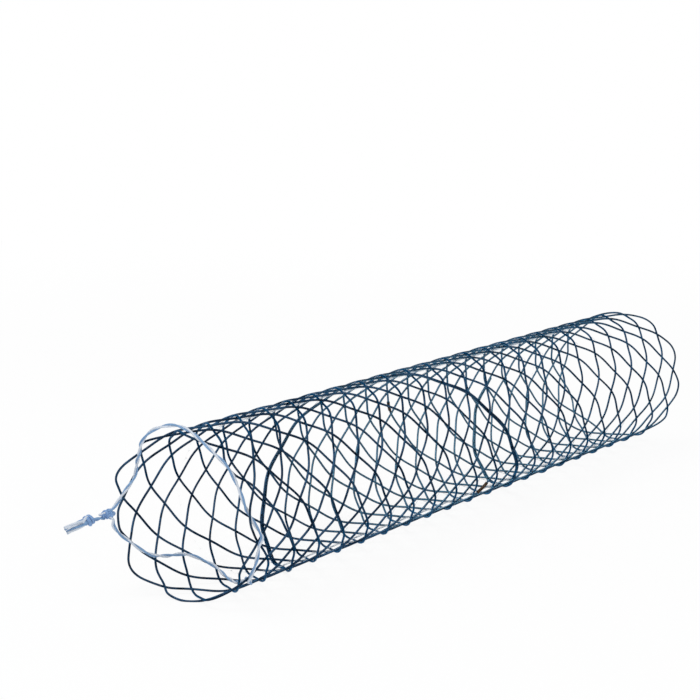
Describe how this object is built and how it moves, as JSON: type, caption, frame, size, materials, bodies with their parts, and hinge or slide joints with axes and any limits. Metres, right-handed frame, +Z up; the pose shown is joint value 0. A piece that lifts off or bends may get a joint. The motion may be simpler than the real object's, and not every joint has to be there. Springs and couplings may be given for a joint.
{
  "type": "covered biliary stent",
  "caption": "Braided wire tube with rounded crown loops at both ends, a clear inner film and a knotted thread laced through one mouth.",
  "frame": {"origin": "centre of the lumen at the middle of the tube's length", "axes": "+X along the tube from the near mouth, which carries the thread, to the far mouth; +Z up as the tube lies on its side"},
  "size_m": [0.0629, 0.0112, 0.0105],
  "materials": {
    "wire": "dark blue oxide",
    "film": "clear",
    "thread": "braided white and light blue",
    "marker": "dark"
  },
  "bodies": {
    "root": {"braid_wire": "wire", "cover_film": "film", "retrieval_thread": "thread", "marker_sleeve_front": "marker", "marker_sleeve_back": "marker"}
  },
  "joints": []
}
